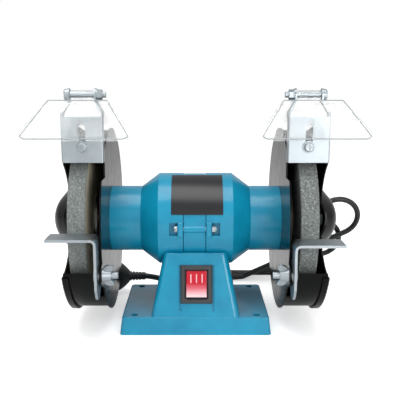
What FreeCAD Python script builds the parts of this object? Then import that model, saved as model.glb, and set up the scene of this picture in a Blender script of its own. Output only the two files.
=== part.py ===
import FreeCAD, Part
import math
import os

# Bench grinder for two 150 mm wheels, in millimetres.
# The origin is on the bench under the middle of the spindle: +X along the spindle to the
# right, +Y to the back, +Z up.

Vector = FreeCAD.Vector

# ---- driving dimensions -------------------------------------------------------------
axis_z = 100.0              # spindle above the bench
slip = 0.05                 # radial clearance of a shaft, pin or screw in its hole
face_gap = 0.1              # clearance between faces that slide on each other
sheet = 1.5                 # guard and bracket sheet steel

# motor housing
drum_r = 43.8
drum_half = 34.5
cone_end = 51.3
neck_r = 31.3
neck_end = 80.0
housing_wall = 3.0
end_wall = 4.0
left_seam = -11.2
right_seam = 9.6
band_r = drum_r - 0.5
seam_gap = 0.4
tie_y = drum_r - 1.5        # tie bolts run beside the drum wall
tie_z = axis_z - 2.0
tie_r = 2.0
tie_rib_r = 3.4
ear_height = 14.0
ear_depth = 5.4
ear_proud = 2.2
pocket_len = 7.4
pocket_floor = drum_r - 5.2
block_y = drum_r - 8.4      # inner face of the block behind each pocket
tie_notch_y = block_y - 0.2   # the stator is notched to clear those blocks

# motor inside
stator_r = drum_r - housing_wall - 0.8
stator_bore = 22.4
stator_half = 19.0
winding_len = 12.0
winding_r = tie_notch_y - 0.7
winding_bore = 24.5
rotor_air_gap = 0.5
bearing_r = 17.5
bearing_len = 11.0
seat_wall = 4.0

# spindle and wheels
spindle_shift = -2.0        # the rotor sits a little to the left of the housing's middle
shaft_r = 7.5
arbor_r = 6.35
thread_r = 6.0
arbor_start = neck_end + 8.4
wheel_r = 75.0
wheel_width = 16.0
flange_r = 25.0
flange_len = 4.3
outer_flange_len = 5.0
blotter_len = 0.5
blotter_r = 27.5
nut_flats = 19.0
nut_len = 10.0

# guards
plate_r = 87.0
guard_band_r = 85.0
band_thick = 1.2
cover_x = neck_end + 36.0
rim_len = 4.6
rim_proud = 2.2
opening_low = (-76.9, -36.2)      # front ends of the band, from the spindle's axis
opening_high = (-57.0, 63.0)
lip_height = 2.0
tab_front = -58.5
tab_half = 15.5
tab_top = 84.0
notch_back = -51.5
notch_low = 47.0
cover_mid_edge = -27.0
cover_low_edge = (-72.0, -38.0)
cover_high_edge = (-50.0, 58.0)
dome_foot_r = 34.0
dome_step_r = 20.5
dome_step_x = cover_x + 13.0
dome_end_x = dome_step_x + 7.5
guard_screw_pcr = 25.0
cover_screw_pcr = 77.5
screw_r = 2.0

# spark bracket
bracket_mid = neck_end + 18.0
bracket_half = 18.25
bracket_low = 61.0
bracket_high = 100.5
bracket_depth = 7.5
arm_half = 12.25
arm_back = -44.5
hinge_y = -50.0
hinge_z = 119.0
hinge_r = 2.5
arm_round = 5.5
slot_half = 3.0
slot_low = 70.0
slot_high = 94.0
slot_screw_z = 74.6

# eye shield
shield_mid = bracket_mid + 1.6
shield_thick = 2.6
shield_top_half = 25.5
shield_low_half = 50.5
shield_top = (-66.0, 115.0)
shield_low = (-92.0, 84.0)
shield_corner = 6.0
shield_lip = 7.2
barrel_r = 4.0
barrel_len = 10.2

# tool rest
rest_inner = neck_end + 2.6
rest_outer = rest_inner + 42.4
rest_front = -102.0
rest_back = -78.5
rest_thick = 2.2
rest_bend = 5.0
left_rest_top = 2.0         # each rest is clamped at its own height
right_rest_top = -2.7
leg_low = -52.0
leg_back = -68.0
clamp_y = -85.0
clamp_z = -33.0
clamp_r = 3.0
slot_play = 0.1
slot_travel = 10.5
lobe_r = 9.5

# base
base_half_x = 70.2
base_half_y = 53.8
skirt_draft = 2.0
flange_z = 16.5
base_wall = 3.0
ped_half_x = 41.0
ped_half_y = 50.8
ped_top_x = 29.0
ped_top_y = 40.0
ped_top = axis_z - 25.0
ped_corner = 5.0
skirt_corner = 3.5
bolt_x = 57.0
bolt_y = 44.0
bolt_hole_r = 3.25
boss_r = 6.6
floor_plate_z = 3.0
floor_plate = 1.2
plate_screw_x = 40.0
plate_screw_y = 44.0
post_r = 3.6
post_hole_top = 12.5
saddle_half = 15.0
saddle_low = axis_z - 53.0
saddle_screw_y = 12.0

# switch
switch_x = 0.9
switch_z = 46.5
bezel_w = 29.5
bezel_h = 35.5
bezel_thick = 2.4
window_w = 19.4
window_h = 25.6
switch_depth = 22.0
rocker_play = 0.3
rocker_tilt = 9.0
rocker_pivot = 1.0          # depth of the key's axis behind the pedestal's face
groove_w = 2.2
groove_depth = 1.2
groove_low = 23.0

# label
label_left = -22.3
label_right = 25.2
label_low_deg = 15.0
label_high_deg = 78.0
label_thick = 0.4

# cord, plug and gland
cord_r = 3.0
gland_x = 5.0
gland_z = 9.0
gland_len = 26.0
gland_flange_r = 6.4
gland_neck_r = 4.0
plug_y = 73.0
plug_r = 19.5
plug_face = -104.0
plug_neck = -73.0
sleeve_end = -55.0
pin_r = 2.4
pin_len = 19.0
pin_spacing = 19.0
coil_lean = 18.0            # degrees that the coil leans forward on the guard
coil_foot_y = 118.3
coil_bend = 22.0            # centreline radius of the coil's end bends
coil_left = (47.5, 20.0)
coil_low_end = (119.0, 20.0)
coil_high_end = (159.2, 84.5)
coil_turns = 4
turn_pitch = 6.6

# Route of the cord from the gland to the coil, and from the coil to the plug.
gland_route = [
    (gland_x, 79.9, gland_z),
    (5.8, 93.0, 7.0),
    (11.5, 105.5, 4.2),
    (20.5, 114.8, 3.1),
    (31.0, 119.8, 3.05),
]
plug_route = [
    (31.9, 130.0, 38.8),
    (22.6, 132.6, 30.2),
    (11.0, 134.4, 22.6),
    (-1.0, 132.2, 15.6),
    (-11.0, 124.8, 9.6),
    (-16.8, 113.2, 5.4),
    (-20.0, 100.0, 4.6),
    (-26.6, 86.6, 8.6),
    (-37.6, 77.6, 14.6),
    (-46.5, 73.8, 18.2),
    (sleeve_end, plug_y, plug_r),
]


# ---- basic solids -------------------------------------------------------------------
def box(x0, x1, y0, y1, z0, z1):
    return Part.makeBox(x1 - x0, y1 - y0, z1 - z0, Vector(x0, y0, z0))


def cyl_x(x0, x1, r, y=0.0, z=axis_z):
    return Part.makeCylinder(r, x1 - x0, Vector(x0, y, z), Vector(1, 0, 0))


def cyl_y(y0, y1, r, x, z):
    return Part.makeCylinder(r, y1 - y0, Vector(x, y0, z), Vector(0, 1, 0))


def cyl_z(z0, z1, r, x, y):
    return Part.makeCylinder(r, z1 - z0, Vector(x, y, z0), Vector(0, 0, 1))


def ring_x(x0, x1, outer, inner, y=0.0, z=axis_z):
    return cyl_x(x0, x1, outer, y, z).cut(cyl_x(x0 - 1, x1 + 1, inner, y, z))


def edges_of(points):
    """Straight edges through points; an item (middle, end) is an arc to end through middle."""
    edges = []
    here = points[0]
    for item in points[1:]:
        if isinstance(item, tuple):
            edges.append(Part.Arc(here, item[0], item[1]).toShape())
            here = item[1]
        else:
            edges.append(Part.makeLine(here, item))
            here = item
    return edges


def face_of(points):
    return Part.Face(Part.Wire(edges_of(points + [points[0]])))


def turned(profile, y=0.0, z=axis_z):
    """Solid of revolution about a line along X. profile is (x, radius) or arcs of them."""
    def at(p):
        return Vector(p[0], y, z + p[1])
    points = [tuple(at(q) for q in p) if isinstance(p[0], tuple) else at(p) for p in profile]
    return face_of(points).revolve(Vector(0, y, z), Vector(1, 0, 0), 360)


def prism_x(profile, x0, x1):
    """Prism along X. profile is (y, z) from the spindle's axis, or arcs of them."""
    def at(p):
        return Vector(x0, p[0], axis_z + p[1])
    points = [tuple(at(q) for q in p) if isinstance(p[0], tuple) else at(p) for p in profile]
    return face_of(points).extrude(Vector(x1 - x0, 0, 0))


def prism_y(profile, y0, y1):
    """Prism along Y. profile is (x, z) from the spindle's axis."""
    points = [Vector(p[0], y0, axis_z + p[1]) for p in profile]
    return face_of(points).extrude(Vector(0, y1 - y0, 0))


def frustum(low, high, z0, z1):
    """Block whose half sizes go from low at z0 to high at z1."""
    wires = []
    for (hx, hy), z in ((low, z0), (high, z1)):
        corners = [Vector(-hx, -hy, z), Vector(hx, -hy, z), Vector(hx, hy, z), Vector(-hx, hy, z)]
        wires.append(Part.makePolygon(corners + [corners[0]]))
    return Part.makeLoft(wires, True, True)


def hex_x(x0, x1, flats, y=0.0, z=axis_z):
    """Hexagon prism along X with a flat facing the front."""
    r = flats / math.sqrt(3)
    corners = []
    for k in range(6):
        a = math.radians(60 * k)
        corners.append(Vector(x0, y + r * math.sin(a + math.pi / 3), z + r * math.cos(a + math.pi / 3)))
    corners.append(corners[0])
    return Part.Face(Part.makePolygon(corners)).extrude(Vector(x1 - x0, 0, 0))


def mirror_x(shape):
    return shape.mirror(Vector(0, 0, 0), Vector(1, 0, 0))


def mirror_y(shape):
    return shape.mirror(Vector(0, 0, 0), Vector(0, 1, 0))


def one(shape):
    """The single solid of a boolean result, with split faces joined."""
    return shape.removeSplitter()


def group(shapes):
    return Part.makeCompound(shapes)


# ---- base ---------------------------------------------------------------------------
def base_block(inset, z0, z1):
    """The skirt with its draft, made smaller all round by inset."""
    def half(z):
        lean = skirt_draft * z / flange_z
        return base_half_x - inset - lean, base_half_y - inset - lean
    return frustum(half(z0), half(z1), z0, z1)


def pedestal_half(z, inset=0.0):
    share = (z - flange_z) / (ped_top - flange_z)
    x = ped_half_x + (ped_top_x - ped_half_x) * share - inset
    y = ped_half_y + (ped_top_y - ped_half_y) * share - inset
    return x, y


def pedestal(inset, z0, z1):
    return frustum(pedestal_half(z0, inset), pedestal_half(z1, inset), z0, z1)


def upright_edges(shape):
    return [e for e in shape.Edges if abs(e.tangentAt(e.FirstParameter).z) > 0.7]


def top_edges(shape, z):
    return [e for e in shape.Edges if all(abs(v.Z - z) < 0.01 for v in e.Vertexes)]


def face_tilt():
    return math.degrees(math.atan((ped_half_y - ped_top_y) / (ped_top - flange_z)))


def on_switch_face(shape):
    """Puts a shape made at the origin, facing -Y, on the pedestal's sloping front."""
    y = -pedestal_half(switch_z)[1]
    turn = FreeCAD.Rotation(Vector(1, 0, 0), -face_tilt())
    shape.Placement = FreeCAD.Placement(Vector(switch_x, y, switch_z), turn)
    return shape


def make_base():
    skirt = base_block(0, 0, flange_z)
    skirt = skirt.makeFillet(skirt_corner, upright_edges(skirt))
    skirt = skirt.makeFillet(1.4, top_edges(skirt, flange_z))
    column = pedestal(0, flange_z - 2, ped_top)
    column = column.makeFillet(ped_corner, upright_edges(column))
    column = column.makeFillet(2.4, top_edges(column, ped_top))
    shell = skirt.fuse(column)
    shell = shell.cut(base_block(base_wall, -1, flange_z - base_wall))
    shell = shell.cut(pedestal(base_wall, flange_z - base_wall - 1, ped_top - base_wall))
    for x in (-bolt_x, bolt_x):
        for y in (-bolt_y, bolt_y):
            shell = shell.fuse(cyl_z(0, flange_z - 1, boss_r, x, y))
            shell = shell.cut(cyl_z(-1, flange_z + 1, bolt_hole_r, x, y))
    for x in (-plate_screw_x, plate_screw_x):
        for y in (-plate_screw_y, plate_screw_y):
            post = cyl_z(floor_plate_z + floor_plate + slip, flange_z - 1, post_r, x, y)
            hole = cyl_z(0, post_hole_top, screw_r - 0.5 + slip, x, y)
            shell = shell.fuse(post).cut(hole)
    back = pedestal_half(saddle_low, base_wall / 2)[1]
    saddle = box(-saddle_half, saddle_half, -saddle_half, back, saddle_low, axis_z - drum_r + 3)
    shell = shell.fuse(saddle)
    shell = shell.cut(cyl_x(-60, 60, drum_r + slip))
    for y in (-saddle_screw_y + 5, saddle_screw_y + 5):
        shell = shell.cut(cyl_z(saddle_low - 1, axis_z, 2.5 + slip, 0, y))
    shell = shell.cut(on_switch_face(box(-bezel_w / 2 + 2, bezel_w / 2 - 2, -4, 9,
                                         -bezel_h / 2 + 2, bezel_h / 2 - 2)))
    for side in (-1, 1):
        x = side * (bezel_w / 2 + groove_w / 2 - 0.6)
        low = groove_low - switch_z
        groove = box(x - groove_w / 2, x + groove_w / 2, -1, groove_depth, low, bezel_h / 2)
        shell = shell.cut(on_switch_face(groove))
        end = Part.makeCylinder(groove_w / 2 + 0.5, groove_depth + 1, Vector(x, -1, low),
                                Vector(0, 1, 0))
        shell = shell.cut(on_switch_face(end))
    shell = shell.cut(cyl_y(base_half_y - 8, base_half_y + 5, gland_neck_r + slip, gland_x, gland_z))
    return one(shell)


def make_bottom_plate():
    inside = base_block(base_wall + 0.4, floor_plate_z, floor_plate_z + floor_plate)
    for x in (-bolt_x, bolt_x):
        for y in (-bolt_y, bolt_y):
            inside = inside.cut(cyl_z(0, 10, boss_r + 0.3, x, y))
    for x in (-plate_screw_x, plate_screw_x):
        for y in (-plate_screw_y, plate_screw_y):
            inside = inside.cut(cyl_z(0, 10, screw_r - 0.5 + slip, x, y))
    for k in range(-3, 4):
        inside = inside.cut(box(k * 7 - 1.5, k * 7 + 1.5, -14, 14, 0, 10))
    return inside


def make_bottom_screws():
    screws = []
    for x in (-plate_screw_x, plate_screw_x):
        for y in (-plate_screw_y, plate_screw_y):
            head = cyl_z(floor_plate_z - 1.7, floor_plate_z - slip, 3.0, x, y)
            screws.append(head.fuse(cyl_z(floor_plate_z - 1, post_hole_top - 1, screw_r - 0.5, x, y)))
    return group(screws)


def make_saddle_screws():
    screws = []
    for y in (-saddle_screw_y + 5, saddle_screw_y + 5):
        head = hex_x(0, 3.5, 8.0, 0, 0)
        head.Placement = FreeCAD.Placement(Vector(0, y, saddle_low - slip - 3.5),
                                           FreeCAD.Rotation(Vector(0, 1, 0), -90))
        shank = cyl_z(saddle_low - 1, axis_z - drum_r + 1.5, 2.5, 0, y)
        screws.append(head.fuse(shank))
    return group(screws)


def make_capacitor():
    can = cyl_x(-36, -4, 9.0, 22, floor_plate_z + floor_plate + 9.2)
    return can.fuse(cyl_x(-4, -1, 7.0, 22, floor_plate_z + floor_plate + 9.2))


def make_terminal_block():
    z = floor_plate_z + floor_plate + 0.1
    block = box(14, 38, 12, 26, z, z + 9)
    for k in range(3):
        block = block.cut(cyl_z(z + 4, z + 10, 1.8, 18.5 + 7.5 * k, 19))
    return block


# ---- motor --------------------------------------------------------------------------
def tie_boss(seam, side):
    """Inner block, ear and pocket that hold one end of the front tie bolt."""
    inner = seam
    ear = seam + side * ear_depth
    far = ear + side * pocket_len
    low, high = tie_z - ear_height / 2, tie_z + ear_height / 2
    x0, x1 = sorted((inner, far + side * 2))
    block = box(x0, x1, -drum_r - 1, -block_y, low - 1.5, high + 1.5)
    block = block.common(cyl_x(-drum_half, drum_half, drum_r))
    e0, e1 = sorted((inner, ear))
    lug = box(e0, e1, -drum_r - ear_proud, -pocket_floor, low, high)
    lug = lug.makeFillet(1.5, [e for e in lug.Edges if abs(e.BoundBox.YMax + drum_r + ear_proud) < 0.01])
    p0, p1 = sorted((ear, far))
    pocket = box(p0, p1, -drum_r - 5, -pocket_floor, low + 1, high - 1)
    return block.fuse(lug), pocket


def make_bell(seam, side):
    """One end bell: drum, cone and neck with the bearing seat. side is -1 left, +1 right."""
    w = housing_wall
    seam_in = abs(seam) * (1 if seam * side > 0 else -1)
    outer = [(seam_in, drum_r - 0.5), (seam_in + 0.5, drum_r), (drum_half, drum_r),
             (cone_end, neck_r), (neck_end, neck_r)]
    inner = [(neck_end, shaft_r + 1.0), (neck_end - end_wall, shaft_r + 1.0),
             (neck_end - end_wall, neck_r - w), (cone_end - 1.2, neck_r - w),
             (drum_half - 1.2, drum_r - w), (seam_in, drum_r - w)]
    bell = turned(outer + inner)
    seat_end = neck_end - end_wall
    bell = bell.fuse(ring_x(seat_end - bearing_len - 1, seat_end + 1, bearing_r + seat_wall,
                            bearing_r + slip))
    for k in range(3):
        y, z = guard_screw_place(k)
        bell = bell.cut(cyl_x(neck_end - end_wall - 2, neck_end + 1, 2.5 + slip, y, z))
    if side < 0:
        bell = mirror_x(bell)
    block, pocket = tie_boss(seam, side)
    h0, h1 = sorted((seam - side, seam + side * (ear_depth + 1)))
    hole = cyl_x(h0, h1, tie_r + slip, -tie_y, tie_z)
    for turn in (lambda s: s, mirror_y):
        bell = bell.fuse(turn(block)).cut(turn(pocket)).cut(turn(hole))
    for y in (-saddle_screw_y + 5, saddle_screw_y + 5):
        bell = bell.cut(cyl_z(axis_z - drum_r - 1, axis_z - drum_r + 8, 2.5 + slip, 0, y))
    return one(bell)


def make_centre_band():
    x0, x1 = left_seam + seam_gap, right_seam - seam_gap
    band = ring_x(x0, x1, band_r, drum_r - housing_wall)
    for y in (-tie_y, tie_y):
        band = band.fuse(cyl_x(x0, x1, tie_rib_r, y, tie_z))
    band = band.cut(cyl_x(x0 - 1, x1 + 1, stator_r + 0.5))
    for y in (-tie_y, tie_y):
        band = band.cut(cyl_x(x0 - 1, x1 + 1, tie_r + slip, y, tie_z))
    for y in (-saddle_screw_y + 5, saddle_screw_y + 5):
        band = band.cut(cyl_z(axis_z - drum_r - 1, axis_z - drum_r + 8, 2.5 + slip, 0, y))
    return one(band)


def make_tie_bolts():
    bolts = []
    start, end = left_seam - ear_depth, right_seam + ear_depth
    for y in (-tie_y, tie_y):
        bolt = cyl_x(start - 1, end + 4.2, tie_r, y, tie_z)
        bolt = bolt.fuse(cyl_x(start - 2.8, start - slip, 3.3, y, tie_z))
        bolt = bolt.cut(box(start - 3, start - 2, y - 5, y + 5, tie_z - 0.5, tie_z + 0.5))
        bolts.append(bolt.fuse(hex_x(end + slip, end + 3.2, 6.4, y, tie_z)))
    return group(bolts)


def make_label():
    skin = ring_x(label_left, label_right, drum_r + slip + label_thick, drum_r + slip)
    a, b = math.radians(label_low_deg), math.radians(label_high_deg)
    reach = drum_r * 3
    wedge = prism_x([(0, 0), (-reach * math.cos(a), reach * math.sin(a)),
                     (-reach * math.cos(b), reach * math.sin(b))], label_left - 1, label_right + 1)
    return skin.common(wedge)


def make_stator_core():
    core = ring_x(-stator_half, stator_half, stator_r, stator_bore)
    low, high = tie_z - ear_height / 2 - 2, tie_z + ear_height / 2 + 2
    for y0 in (-stator_r - 1, tie_notch_y):
        core = core.cut(box(-30, 30, y0, y0 + stator_r + 1 - tie_notch_y, low, high))
    return core


def make_windings():
    rings = []
    for x0 in (-stator_half - winding_len - 0.2, stator_half + 0.2):
        ring = ring_x(x0, x0 + winding_len, winding_r, winding_bore)
        rings.append(ring.makeFillet(4.0, ring.Edges[:1]))
    return group(rings)


def make_rotor_core():
    core = ring_x(-stator_half, stator_half, stator_bore - rotor_air_gap, shaft_r)
    for side in (-1, 1):
        x0, x1 = sorted((side * stator_half, side * (stator_half + 5)))
        core = core.fuse(ring_x(x0, x1, stator_bore - 2.5, stator_bore - 8))
    return core


def make_bearing(side):
    x1 = neck_end - end_wall - 0.1
    ring = ring_x(x1 - bearing_len, x1, bearing_r, shaft_r + slip)
    groove = ring_x(x1 - 1.0, x1 + 1, bearing_r - 3.0, shaft_r + 2.6)
    ring = ring.cut(groove)
    return ring if side > 0 else mirror_x(ring)


# ---- spindle and wheels: made about X = 0, then moved by spindle_shift ----------------
def shifted(shape):
    shape.translate(Vector(spindle_shift, 0, 0))
    return shape


def sided(shape, side):
    return shifted(shape if side > 0 else mirror_x(shape))


flange_x = arbor_start
blotter_x = flange_x + flange_len
wheel_x = blotter_x + blotter_len
outer_blotter_x = wheel_x + wheel_width
outer_flange_x = outer_blotter_x + blotter_len
nut_x = outer_flange_x + outer_flange_len
spindle_end = nut_x + nut_len + 1.5


def make_spindle():
    half = [(arbor_start, shaft_r), (arbor_start, arbor_r), (outer_flange_x, arbor_r),
            (outer_flange_x + 0.8, thread_r), (spindle_end - 1, thread_r),
            (spindle_end, thread_r - 1)]
    profile = [(spindle_end, 0)] + half[::-1] + [(-x, r) for x, r in half] + [(-spindle_end, 0)]
    return shifted(turned(profile))


def make_wheel(side):
    wheel = ring_x(wheel_x, outer_blotter_x, wheel_r, arbor_r)
    rims = [e for e in wheel.Edges if abs(e.BoundBox.ZMax - axis_z - wheel_r) < 0.01
            and e.BoundBox.XLength < 0.1]
    return sided(wheel.makeChamfer(0.6, rims), side)


def make_inner_flange(side):
    x = flange_x
    profile = [(x, arbor_r), (x, 13), (x + 1.2, 15), (x + 2.0, flange_r - 3), (x + 2.2, flange_r),
               (x + flange_len, flange_r), (x + flange_len, arbor_r)]
    return sided(turned(profile), side)


def make_outer_flange(side):
    x = outer_flange_x
    profile = [(x, arbor_r), (x, flange_r), (x + 2.1, flange_r), (x + 2.8, 16),
               (x + outer_flange_len, 13.5), (x + outer_flange_len, arbor_r)]
    return sided(turned(profile), side)


def make_blotters(side):
    rings = [ring_x(x, x + blotter_len, blotter_r, arbor_r) for x in (blotter_x, outer_blotter_x)]
    return group([sided(r, side) for r in rings])


def make_nut(side):
    nut = hex_x(nut_x, nut_x + nut_len, nut_flats).cut(cyl_x(nut_x - 1, spindle_end, thread_r))
    limit = turned([(nut_x, 0), (nut_x, 10.97), (nut_x + nut_len - 1.2, 10.97),
                    (nut_x + nut_len, 9.2), (nut_x + nut_len, 0)])
    return sided(nut.common(limit), side)


# ---- guards: made for the right, mirrored for the left ---------------------------------
def handed(shape, side):
    return shape if side > 0 else mirror_x(shape)


def guard_screw_place(k):
    a = math.radians(90 + 120 * k)
    return guard_screw_pcr * math.cos(a), axis_z + guard_screw_pcr * math.sin(a)


def cover_screw_place(k):
    a = math.radians((28, 128 - 58, -62)[k])
    return cover_screw_pcr * math.cos(a), axis_z + cover_screw_pcr * math.sin(a)


def far_wedge(low, high):
    """Front wedge between two directions from the spindle's axis."""
    reach = 3.0
    return [(0, 0), (low[0] * reach, low[1] * reach), (high[0] * reach, high[1] * reach)]


def make_guard(side):
    inner = neck_end + sheet
    plate = cyl_x(neck_end, inner, plate_r)
    lobe = cyl_x(neck_end, inner, lobe_r, clamp_y, axis_z + clamp_z)
    web = prism_x([(-60, -10), (clamp_y + 2, clamp_z + lobe_r), (clamp_y, clamp_z - lobe_r),
                   (-60, -55)], neck_end, inner)
    plate = plate.fuse(lobe).fuse(web)
    plate = plate.cut(box(neck_end - 1, inner + 1, -120, notch_back, axis_z + notch_low, axis_z + 120))
    plate = plate.cut(cyl_x(neck_end - 1, inner + 1, shaft_r + 1.5))
    plate = plate.cut(cyl_x(neck_end - 1, inner + 1, clamp_r + slip, clamp_y, axis_z + clamp_z))
    for k in range(3):
        y, z = guard_screw_place(k)
        plate = plate.cut(cyl_x(neck_end - 1, inner + 1, 2.5 + slip, y, z))
    band = ring_x(inner - 0.2, cover_x - face_gap, guard_band_r, guard_band_r - band_thick)
    band = band.cut(prism_x(far_wedge(opening_low, opening_high), inner - 2, cover_x + 2))
    lip_y = opening_low[0] + 0.15
    lip = box(inner, cover_x - face_gap, lip_y, lip_y + band_thick,
              axis_z + opening_low[1] - 1.5, axis_z + opening_low[1] + lip_height)
    notch = box(inner, rest_inner + rest_thick + 3.2, -120, leg_back + 10, axis_z - 72, axis_z - 20)
    band = band.fuse(lip).cut(notch)
    for x0, x1 in ((inner - 1, bracket_mid - tab_half), (bracket_mid + tab_half, cover_x + 1)):
        band = band.cut(box(x0, x1, -120, notch_back, axis_z + notch_low, axis_z + 120))
    tab = box(bracket_mid - tab_half, bracket_mid + tab_half, tab_front, tab_front + sheet,
              axis_z + opening_high[1] - 1.5, axis_z + tab_top)
    tab = tab.cut(cyl_y(-70, -50, screw_r + 0.5 + slip, bracket_mid, axis_z + slot_screw_z))
    guard = plate.fuse(band).fuse(tab)
    for k in range(3):
        y, z = cover_screw_place(k)
        ear = cyl_x(cover_x - face_gap - sheet, cover_x - face_gap, 6.5, y, z)
        ear = ear.common(cyl_x(cover_x - 5, cover_x + 5, guard_band_r - 0.4))
        guard = guard.fuse(ear).cut(cyl_x(cover_x - 5, cover_x + 5, screw_r + slip, y, z))
    return handed(one(guard), side)


def dome_cap():
    """Thin cap of a ball whose centre is on the spindle's axis."""
    rise = dome_end_x - dome_step_x
    ball_r = (dome_step_r ** 2 + rise ** 2) / (2 * rise)
    centre = Vector(dome_end_x - ball_r, 0, axis_z)
    ball = Part.makeSphere(ball_r, centre).cut(Part.makeSphere(ball_r - band_thick, centre))
    return ball.common(cyl_x(dome_step_x - 1, dome_end_x + 1, dome_step_r))


def make_cover(side):
    x, t = cover_x, band_thick
    rim_r = guard_band_r + 0.3
    outer = [(x - rim_len, rim_r + rim_proud), (x + t - 1, rim_r + rim_proud),
             (x + t, rim_r + rim_proud - 1), (x + t, dome_foot_r), (dome_step_x, dome_step_r)]
    inner = [(dome_step_x, dome_step_r - 1.6), (x, dome_foot_r - 1.6), (x, rim_r),
             (x - rim_len, rim_r)]
    cover = turned(outer + inner).fuse(dome_cap())
    low, high, mid = cover_low_edge, cover_high_edge, cover_mid_edge
    front = prism_x([(-120, low[1]), low, ((mid, 4.0), high), (high[0], 120), (-120, 120)],
                    x - 10, dome_end_x + 1)
    cover = cover.cut(front)
    for k in range(3):
        y, z = cover_screw_place(k)
        cover = cover.cut(cyl_x(x - 1, x + t + 1, screw_r + slip, y, z))
    return handed(one(cover), side)


def pan_screw_x(x_face, y, z, r, length, head_r, head_len):
    """Pan-head screw whose head sits on the +X side of the face at x_face."""
    head = cyl_x(x_face + slip, x_face + slip + head_len, head_r, y, z)
    rim = [e for e in head.Edges if abs(e.BoundBox.XMin - x_face - slip - head_len) < 0.01
           and e.BoundBox.YLength > 1]
    head = head.makeFillet(head_len * 0.45, rim)
    cross = box(x_face + head_len - 0.9, x_face + head_len + 1, y - 0.5, y + 0.5, z - 2, z + 2)
    cross = cross.fuse(box(x_face + head_len - 0.9, x_face + head_len + 1, y - 2, y + 2,
                           z - 0.5, z + 0.5))
    return head.fuse(cyl_x(x_face - length, x_face + 1, r, y, z)).cut(cross)


def make_guard_screws(side):
    screws = []
    for k in range(3):
        y, z = guard_screw_place(k)
        screws.append(pan_screw_x(neck_end + sheet, y, z, 2.5, end_wall + 3, 4.4, 2.8))
    return handed(group(screws), side)


def make_cover_screws(side):
    screws = []
    for k in range(3):
        y, z = cover_screw_place(k)
        screws.append(pan_screw_x(cover_x + band_thick, y, z, screw_r, 5.5, 3.8, 2.2))
    return handed(group(screws), side)


# ---- spark bracket and eye shield -------------------------------------------------------
plate_back = tab_front - face_gap
plate_front = plate_back - sheet


def make_bracket(side):
    mid, half, z0, z1 = bracket_mid, bracket_half, bracket_low, bracket_high
    plate = box(mid - half, mid + half, plate_front, plate_back, axis_z + z0, axis_z + z1)
    side_face = prism_x([(plate_front, z0), (plate_front, z1 + 3.5), (hinge_y - arm_round, hinge_z - 7),
                         (hinge_y - arm_round, hinge_z),
                         ((hinge_y, hinge_z + arm_round), (hinge_y + arm_round, hinge_z)),
                         (hinge_y + arm_round, z1 + 3.0), (plate_front + bracket_depth, z1 - 3),
                         (plate_front + bracket_depth, z0)], mid - half - 1, mid + half + 1)
    arms = []
    for s in (-1, 1):
        out, top = mid + s * half, mid + s * arm_half
        strip = [(out, z0), (out, z1 + 3), (top, z1 + 12.5), (top, hinge_z + 8),
                 (top - s * sheet, hinge_z + 8), (top - s * sheet, z1 + 12.1),
                 (out - s * sheet, z1 + 2.6), (out - s * sheet, z0)]
        arms.append(prism_y(strip, -90, -20).common(side_face))
    bracket = plate.fuse(arms[0]).fuse(arms[1])
    corners = [e for e in bracket.Edges
               if abs(e.BoundBox.ZLength - (z1 + 3 - z0)) < 4 and e.BoundBox.XLength < 0.01
               and abs(e.BoundBox.YMin - plate_front) < 0.01 and e.BoundBox.YLength < 0.01
               and abs(abs(e.BoundBox.XMin - mid) - half) < 0.01]
    bracket = bracket.makeFillet(1.3, corners) if corners else bracket
    slot = box(mid - slot_half, mid + slot_half, -90, -50, axis_z + slot_low + slot_half,
               axis_z + slot_high - slot_half)
    for z in (slot_low + slot_half, slot_high - slot_half):
        slot = slot.fuse(cyl_y(-90, -50, slot_half, mid, axis_z + z))
    bracket = bracket.cut(slot)
    bracket = bracket.cut(cyl_x(mid - 30, mid + 30, hinge_r + slip, hinge_y, axis_z + hinge_z))
    return handed(one(bracket), side)


def make_slot_screw(side):
    """Pan-head screw, washer and nut that clamp the bracket to the guard's tab."""
    z = axis_z + slot_screw_z
    front = plate_front - slip
    washer = cyl_y(front - 1.0, front, 5.4, bracket_mid, z)
    head = cyl_y(front - 4.0, front - 1.0, 4.2, bracket_mid, z)
    rim = [e for e in head.Edges if abs(e.BoundBox.YMin - front + 4.0) < 0.01
           and e.BoundBox.XLength > 1 and e.BoundBox.YLength < 0.1]
    head = head.makeFillet(1.3, rim)
    for turn in (0, 90):
        bar = Part.makeBox(5, 3, 0.9, Vector(-2.5, -1.5, -0.45))
        bar.Placement = FreeCAD.Placement(Vector(bracket_mid, front - 4.2, z),
                                          FreeCAD.Rotation(Vector(0, 1, 0), turn))
        head = head.cut(bar)
    shank = cyl_y(front - 1.5, tab_front + sheet + 5, screw_r + 0.5, bracket_mid, z)
    nut = hex_x(0, 3.8, 8.0, 0, 0)
    nut.Placement = FreeCAD.Placement(Vector(bracket_mid, tab_front + sheet + slip, z),
                                      FreeCAD.Rotation(Vector(0, 0, 1), 90))
    return handed(head.fuse(washer).fuse(shank).fuse(nut), side)


def make_hinge_screw(side):
    """Hinge screw through both arms, with its washer and nut on the motor side."""
    y, z = hinge_y, axis_z + hinge_z
    out, inn = bracket_mid + arm_half, bracket_mid - arm_half
    head = cyl_x(out + slip, out + 3.4, 5.0, y, z)
    rim = [e for e in head.Edges if abs(e.BoundBox.XMin - out - 3.4) < 0.01 and e.BoundBox.YLength > 1]
    head = head.makeFillet(1.5, rim)
    head = head.cut(box(out + 2.6, out + 5, y - 6, y + 6, z - 0.6, z + 0.6))
    return handed(head.fuse(cyl_x(inn - 8.2, out + 1, hinge_r, y, z)), side)


def make_hinge_nut(side):
    y, z = hinge_y, axis_z + hinge_z
    inn = bracket_mid - arm_half - slip
    washer = cyl_x(inn - 1.0, inn, 5.0, y, z)
    nut = hex_x(inn - 5.0, inn - 1.0, 8.0, y, z).fuse(washer)
    return handed(nut.cut(cyl_x(inn - 9, inn + 1, hinge_r, y, z)), side)


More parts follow.
